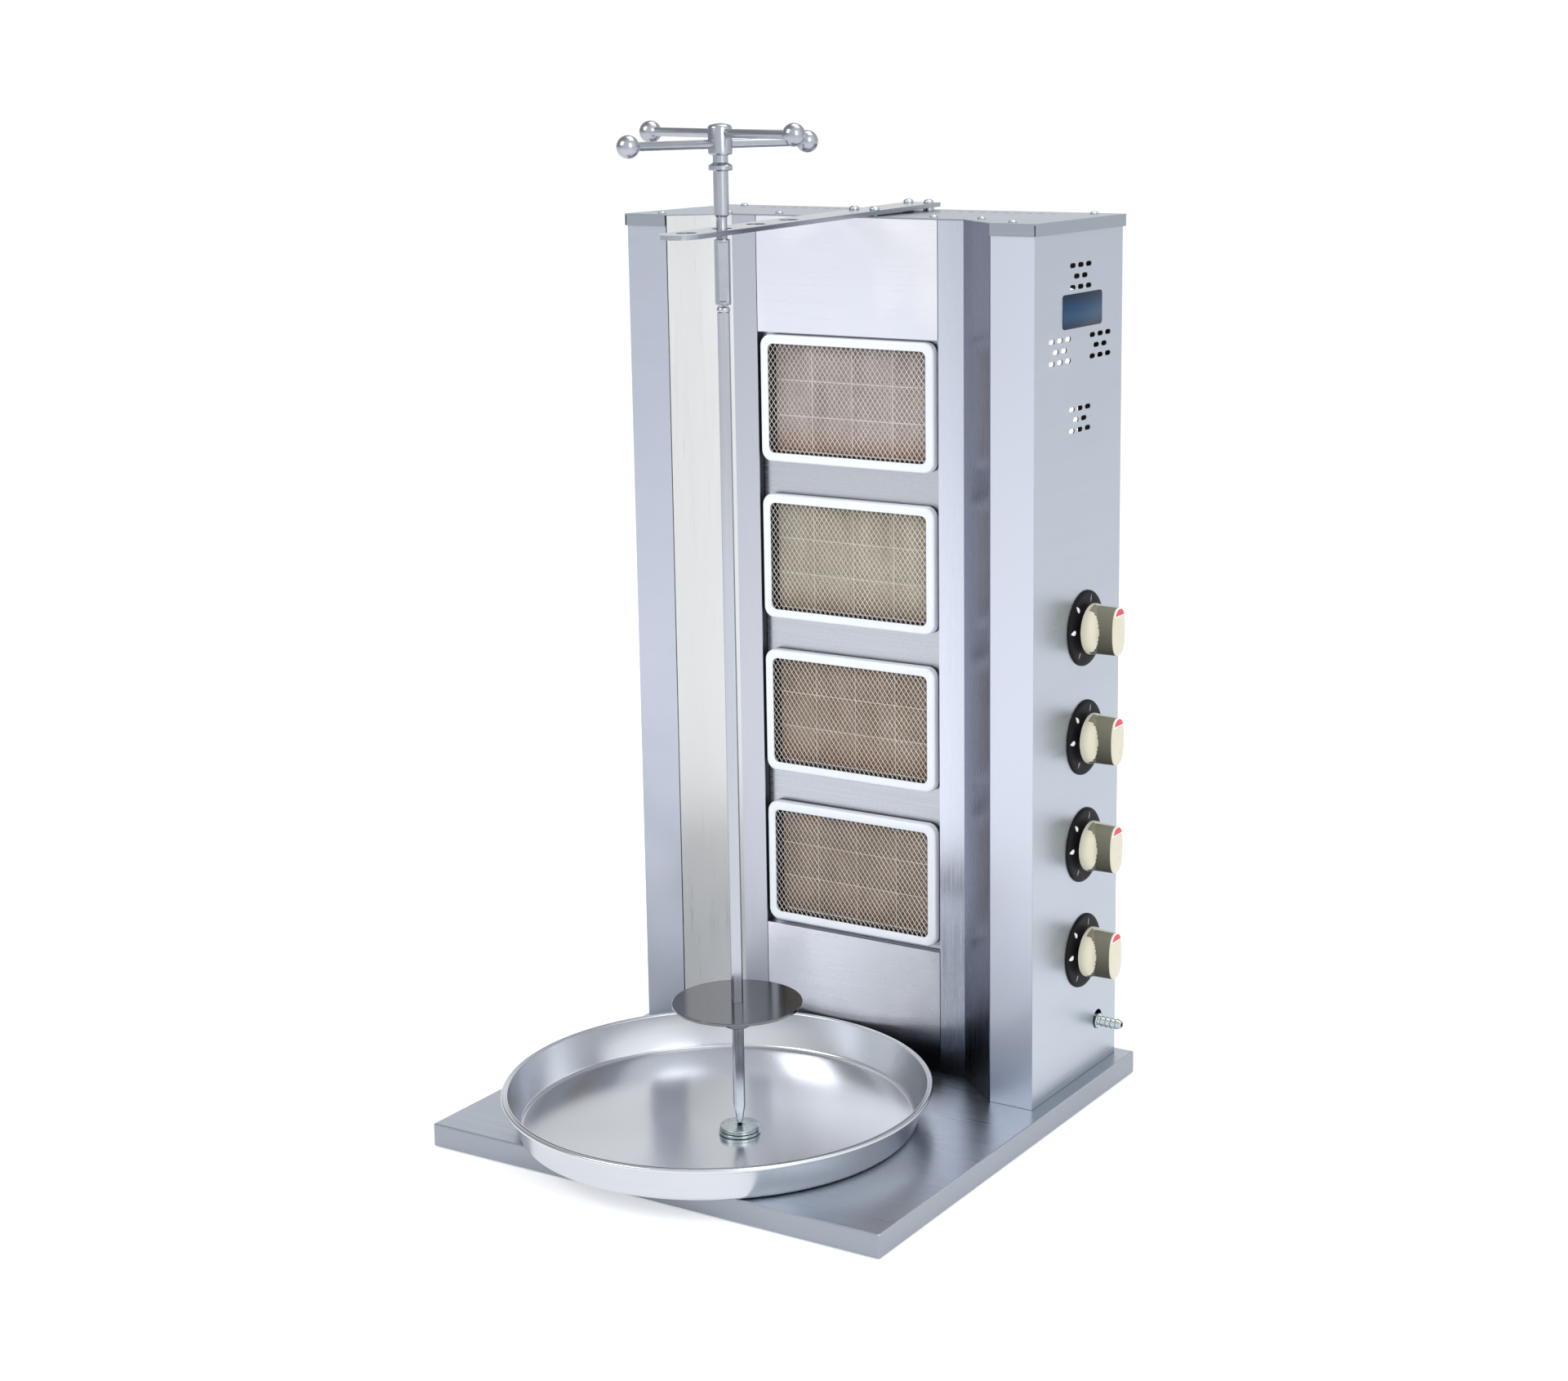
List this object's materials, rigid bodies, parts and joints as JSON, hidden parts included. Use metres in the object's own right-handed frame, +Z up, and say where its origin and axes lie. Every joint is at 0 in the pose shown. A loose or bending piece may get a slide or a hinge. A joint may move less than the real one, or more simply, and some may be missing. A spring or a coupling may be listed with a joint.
{
  "type": "vertical rotisserie broiler",
  "caption": "Free-standing gas broiler with a column of radiant burners behind a hand-turned upright skewer, meat disc and round drip pan.",
  "frame": {"origin": "middle of the underside of the whole machine, on the counter", "axes": "+Z up; -Y to the front, where the skewer and the pan stand; +X to the side with the gas knobs"},
  "size_m": [0.5548, 0.6058, 1.0303],
  "materials": {
    "steel": "brushed satin stainless sheet",
    "polished_steel": "polished stainless",
    "aluminium": "spun aluminium, fine turned grain",
    "chrome": "satin chrome plate",
    "white_enamel": "white vitreous enamel",
    "mesh_wire": "expanded heat-resisting steel",
    "ceramic": "matt fired ceramic plaques",
    "zinc_plate": "bright zinc plate",
    "brass": "machined brass",
    "black_plastic": "gloss black plastic",
    "cream_plastic": "cream moulded plastic",
    "rubber": "matt black rubber"
  },
  "bodies": {
    "root": {"base_tray": "steel", "side_panel_right": "steel", "side_panel_left": "steel", "reflector_right": "steel", "reflector_left": "steel", "back_panel": "steel", "top_cover": "steel", "upper_panel": "steel", "lower_panel": "steel", "burner_fascia": "steel", "burner_body_1": "steel", "burner_body_2": "steel", "burner_body_3": "steel", "burner_body_4": "steel", "support_arm": "steel", "foot_1": "rubber", "foot_2": "rubber", "foot_3": "rubber", "foot_4": "rubber", "burner_frame_1": "white_enamel", "burner_frame_2": "white_enamel", "burner_frame_3": "white_enamel", "burner_frame_4": "white_enamel", "burner_mesh_1": "mesh_wire", "burner_mesh_2": "mesh_wire", "burner_mesh_3": "mesh_wire", "burner_mesh_4": "mesh_wire", "ceramic_plaque_1": "ceramic", "ceramic_plaque_2": "ceramic", "ceramic_plaque_3": "ceramic", "ceramic_plaque_4": "ceramic", "valve_body_1": "brass", "valve_body_2": "brass", "valve_body_3": "brass", "valve_body_4": "brass", "knob_bezel_1": "black_plastic", "knob_bezel_2": "black_plastic", "knob_bezel_3": "black_plastic", "knob_bezel_4": "black_plastic", "gas_manifold": "zinc_plate", "hose_nozzle": "zinc_plate", "arm_clamp_front": "zinc_plate", "arm_clamp_rear": "zinc_plate"},
    "pan": {"drip_pan": "aluminium", "pivot_base": "zinc_plate"},
    "pivot": {"pivot_cup": "zinc_plate"},
    "spit": {"skewer": "polished_steel"},
    "handle": {"handle_shaft": "chrome", "handle_bar_1": "chrome", "handle_bar_2": "chrome"},
    "disc": {"meat_disc": "polished_steel"},
    "disc_lock": {"disc_lock_screw": "zinc_plate"},
    "tap_1": {"valve_plug_1": "brass"},
    "knob_1": {"knob_1": "cream_plastic"},
    "tap_2": {"valve_plug_2": "brass"},
    "knob_2": {"knob_2": "cream_plastic"},
    "tap_3": {"valve_plug_3": "brass"},
    "knob_3": {"knob_3": "cream_plastic"},
    "tap_4": {"valve_plug_4": "brass"},
    "knob_4": {"knob_4": "cream_plastic"}
  },
  "joints": [
    {"name": "pan_lift", "type": "slide", "parent": "root", "child": "pan", "axis": [0, 0, 1], "range_m": [0, 0.04]},
    {"name": "spit_spin", "type": "hinge", "parent": "pan", "child": "pivot", "pos_m": [0.0094, -0.1021, 0.032], "axis": [0, 0, 1], "continuous": true},
    {"name": "spit_lift", "type": "slide", "parent": "pivot", "child": "spit", "axis": [0, 0, 1], "range_m": [0, 0.03]},
    {"name": "handle_lift", "type": "slide", "parent": "spit", "child": "handle", "axis": [0, 0, 1], "range_m": [0, 0.065]},
    {"name": "disc_slide", "type": "slide", "parent": "spit", "child": "disc", "axis": [0, 0, 1], "range_m": [-0.08, 0.66]},
    {"name": "disc_lock_turn", "type": "hinge", "parent": "disc", "child": "disc_lock", "pos_m": [0.0094, -0.1021, 0.1515], "axis": [0.7547, 0.6561, 0], "range_deg": [0, 360]},
    {"name": "knob_1_turn", "type": "hinge", "parent": "root", "child": "tap_1", "pos_m": [0.2374, 0.2099, 0.5124], "axis": [1, 0, 0], "range_deg": [0, 210]},
    {"name": "knob_1_push", "type": "slide", "parent": "tap_1", "child": "knob_1", "axis": [-1, 0, 0], "range_m": [0, 0.004], "stiffness_N_per_m": 800, "springref_m": -0.005},
    {"name": "knob_2_turn", "type": "hinge", "parent": "root", "child": "tap_2", "pos_m": [0.2374, 0.2099, 0.3966], "axis": [1, 0, 0], "range_deg": [0, 210]},
    {"name": "knob_2_push", "type": "slide", "parent": "tap_2", "child": "knob_2", "axis": [-1, 0, 0], "range_m": [0, 0.004], "stiffness_N_per_m": 800, "springref_m": -0.005},
    {"name": "knob_3_turn", "type": "hinge", "parent": "root", "child": "tap_3", "pos_m": [0.2374, 0.2099, 0.2808], "axis": [1, 0, 0], "range_deg": [0, 210]},
    {"name": "knob_3_push", "type": "slide", "parent": "tap_3", "child": "knob_3", "axis": [-1, 0, 0], "range_m": [0, 0.004], "stiffness_N_per_m": 800, "springref_m": -0.005},
    {"name": "knob_4_turn", "type": "hinge", "parent": "root", "child": "tap_4", "pos_m": [0.2374, 0.2099, 0.165], "axis": [1, 0, 0], "range_deg": [0, 210]},
    {"name": "knob_4_push", "type": "slide", "parent": "tap_4", "child": "knob_4", "axis": [-1, 0, 0], "range_m": [0, 0.004], "stiffness_N_per_m": 800, "springref_m": -0.005}
  ]
}
